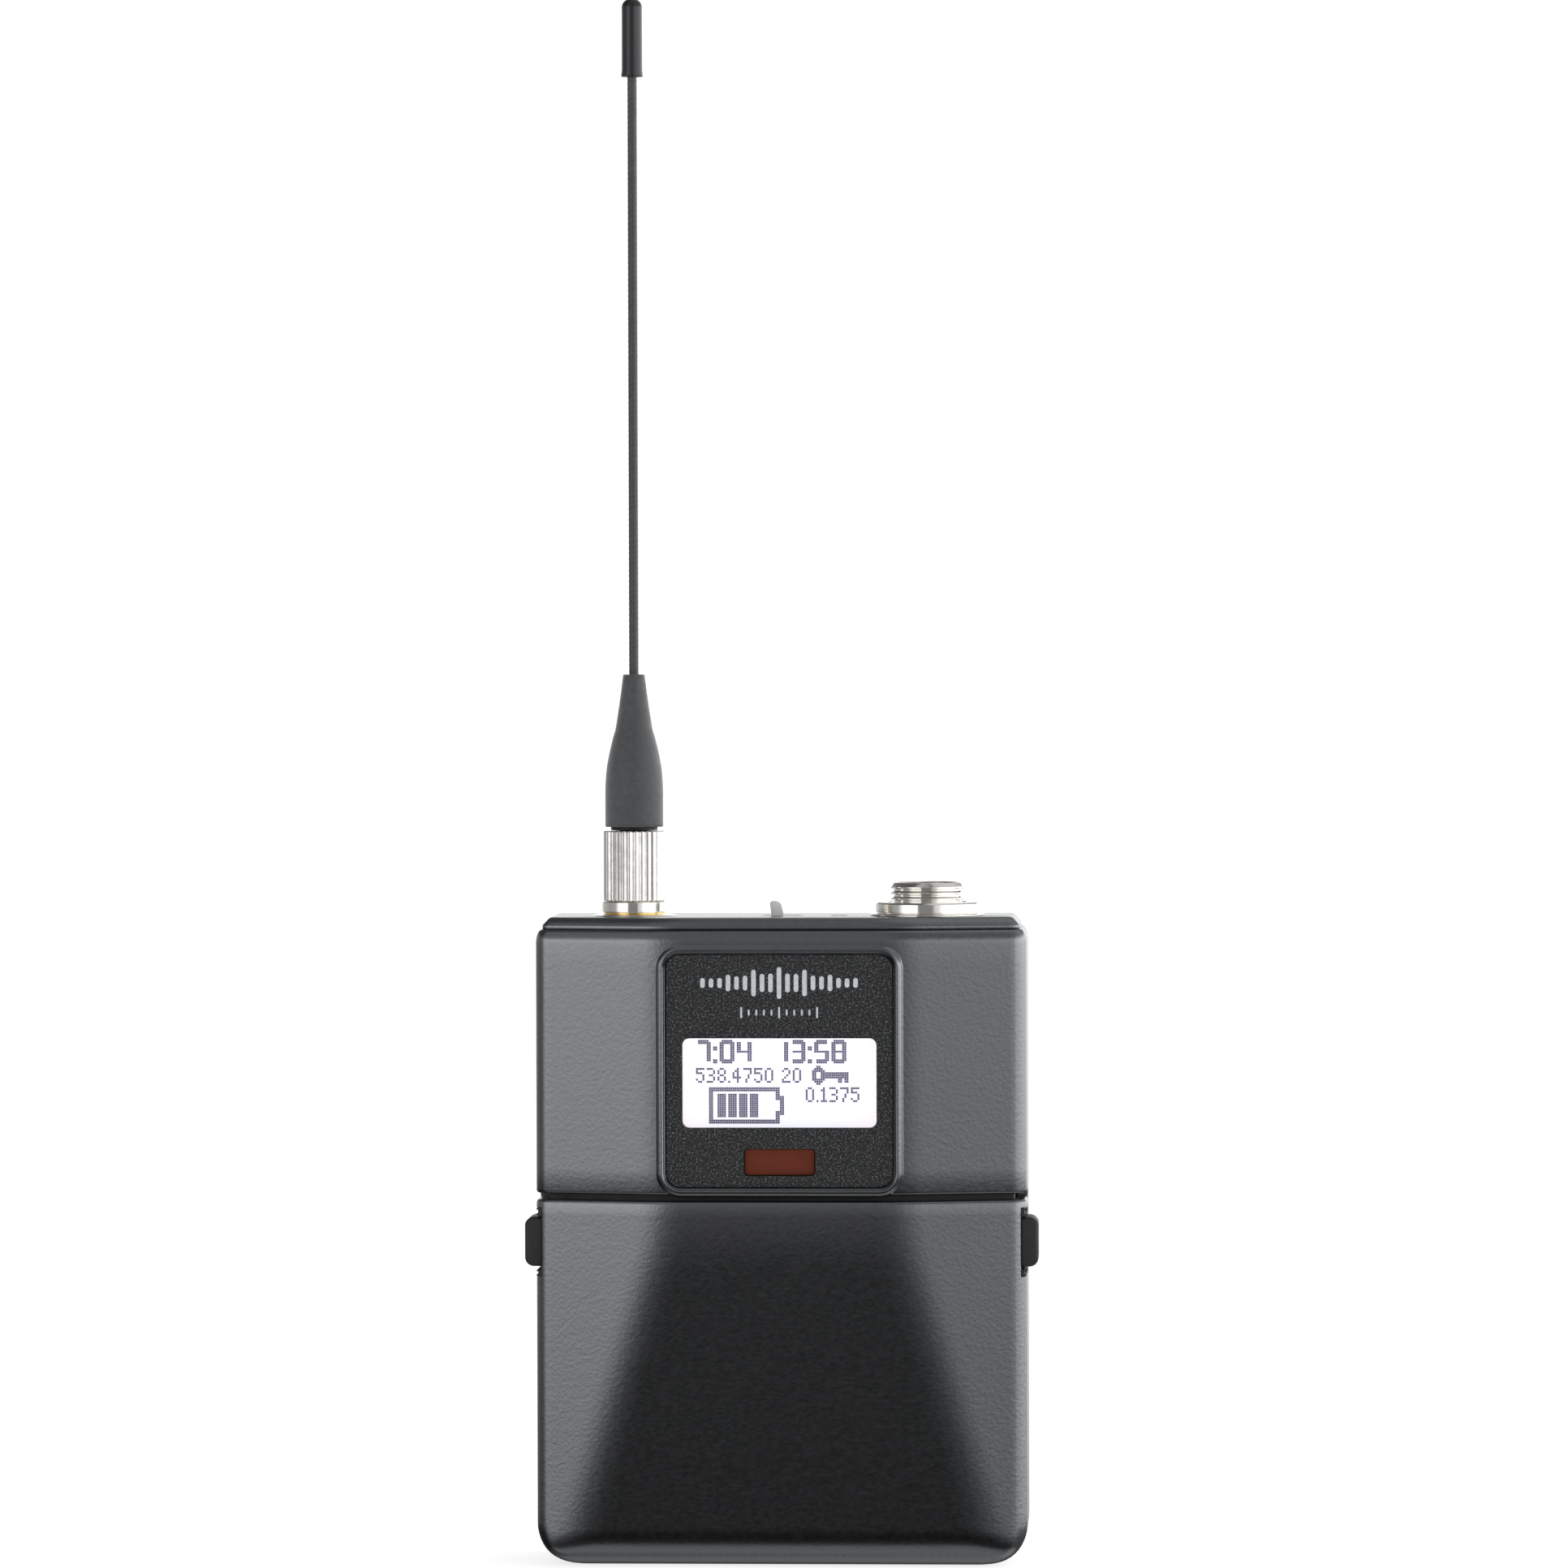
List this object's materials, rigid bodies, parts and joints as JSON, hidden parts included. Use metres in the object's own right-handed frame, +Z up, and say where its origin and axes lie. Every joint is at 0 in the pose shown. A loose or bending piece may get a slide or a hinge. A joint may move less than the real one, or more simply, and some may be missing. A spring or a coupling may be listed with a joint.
{
  "type": "wireless bodypack transmitter",
  "caption": "Belt-worn wireless transmitter with whip antenna, threaded input socket, small display, hinged battery door and wire belt clip.",
  "frame": {"origin": "centre of the flat bottom face, at mid-width of the case", "axes": "+Z up towards the antenna, -Y out of the display, +X to the side of the input socket"},
  "size_m": [0.068, 0.0315, 0.2079],
  "materials": {
    "case_paint": "satin charcoal paint with a fine orange-peel texture over cast metal",
    "cap_paint": "satin charcoal paint on the top cap",
    "panel_black": "black, coarse grained",
    "black_plastic": "fine matte moulding",
    "tab_plastic": "satin moulding",
    "boot_rubber": "matte, slightly speckled",
    "whip_rubber": "satin jacket over a wound core",
    "tip_plastic": "polished black cap",
    "nickel": "bright nickel plating",
    "gold": "gold plating",
    "steel": "zinc-plated steel",
    "board": "green solder mask",
    "key_plastic": "light grey moulding",
    "knob_plastic": "light grey moulding",
    "clear_window": "clear acrylic",
    "screen": "white backlit dot-matrix display",
    "infrared_red": "dark red infrared filter",
    "light_pipe": "milky light pipe",
    "cell_wrap": "printed shrink sleeve over a steel can",
    "clip_black": "black coated spring steel"
  },
  "bodies": {
    "case": {"rear_housing": "case_paint", "front_housing": "case_paint", "top_cap": "cap_paint", "door_hinge_pin_left": "steel", "door_hinge_pin_right": "steel", "housing_screw_1": "steel", "housing_screw_2": "steel", "housing_screw_3": "steel", "housing_screw_4": "steel", "display_panel": "panel_black", "display_window": "clear_window", "lcd_module": "screen", "backlight_plate": "screen", "infrared_window": "infrared_red", "display_board": "board", "infrared_diode": "black_plastic", "main_board": "board", "rf_shield": "steel", "key_frame": "black_plastic", "latch_spring_right": "steel", "latch_spring_left": "steel", "battery_tray": "black_plastic", "battery_upper": "cell_wrap", "battery_spring_upper": "nickel", "battery_contact_upper": "nickel", "battery_lower": "cell_wrap", "battery_spring_lower": "nickel", "battery_contact_lower": "nickel", "power_switch_body": "steel", "power_led_lens": "light_pipe", "input_jack_shell": "nickel", "input_jack_insert": "black_plastic", "input_jack_washer": "nickel", "input_jack_nut": "nickel", "input_pin_1": "gold", "input_pin_2": "gold", "input_pin_3": "gold", "input_pin_4": "gold", "antenna_jack": "gold", "antenna_jack_washer": "nickel", "antenna_jack_nut": "nickel", "clip_bracket": "steel", "clip_screw_1": "steel", "clip_screw_2": "steel"},
    "battery_door": {"battery_door": "case_paint"},
    "latch_left": {"latch_left": "tab_plastic"},
    "latch_right": {"latch_right": "tab_plastic"},
    "power_switch": {"power_switch_knob": "knob_plastic"},
    "menu_key_1": {"menu_key_1": "key_plastic"},
    "menu_key_2": {"menu_key_2": "key_plastic"},
    "menu_key_3": {"menu_key_3": "key_plastic"},
    "menu_key_4": {"menu_key_4": "key_plastic"},
    "belt_clip": {"belt_clip": "clip_black"},
    "antenna": {"antenna_ferrule": "black_plastic", "antenna_contact_pin": "gold", "antenna_boot": "boot_rubber", "antenna_whip": "whip_rubber", "antenna_tip": "tip_plastic"},
    "antenna_nut": {"antenna_nut": "nickel"}
  },
  "joints": [
    {"name": "door_hinge", "type": "hinge", "parent": "case", "child": "battery_door", "pos_m": [0, -0.0052, 0.0026], "axis": [1, 0, 0], "range_deg": [0, 90]},
    {"name": "latch_left_press", "type": "slide", "parent": "case", "child": "latch_left", "axis": [1, 0, 0], "range_m": [0, 0.0015], "stiffness_N_per_m": 400, "deforming": ["latch_spring_left"]},
    {"name": "latch_right_press", "type": "slide", "parent": "case", "child": "latch_right", "axis": [-1, 0, 0], "range_m": [0, 0.0015], "stiffness_N_per_m": 400, "deforming": ["latch_spring_right"]},
    {"name": "power_switch_slide", "type": "slide", "parent": "case", "child": "power_switch", "axis": [1, 0, 0], "range_m": [0, 0.0019]},
    {"name": "menu_key_1_press", "type": "slide", "parent": "case", "child": "menu_key_1", "axis": [0, 1, 0], "range_m": [0, 0.0005], "stiffness_N_per_m": 250},
    {"name": "menu_key_2_press", "type": "slide", "parent": "case", "child": "menu_key_2", "axis": [0, 1, 0], "range_m": [0, 0.0005], "stiffness_N_per_m": 250},
    {"name": "menu_key_3_press", "type": "slide", "parent": "case", "child": "menu_key_3", "axis": [0, 1, 0], "range_m": [0, 0.0005], "stiffness_N_per_m": 250},
    {"name": "menu_key_4_press", "type": "slide", "parent": "case", "child": "menu_key_4", "axis": [0, 1, 0], "range_m": [0, 0.0005], "stiffness_N_per_m": 250},
    {"name": "belt_clip_flex", "type": "hinge", "parent": "case", "child": "belt_clip", "pos_m": [0, 0.014, 0.072], "axis": [1, 0, 0], "range_deg": [0, 12], "stiffness_Nm_per_rad": 0.6},
    {"name": "antenna_lift", "type": "slide", "parent": "case", "child": "antenna", "axis": [0, 0, 1], "range_m": [0, 0.00635]},
    {"name": "antenna_nut_turn", "type": "hinge", "parent": "antenna", "child": "antenna_nut", "pos_m": [-0.01975, 0, 0.0927], "axis": [0, 0, 1], "range_deg": [0, 3600]}
  ],
  "couplings": [
    {"joint": "antenna_nut_turn", "follows": "antenna_lift", "rad_per_m": 9894.7}
  ]
}
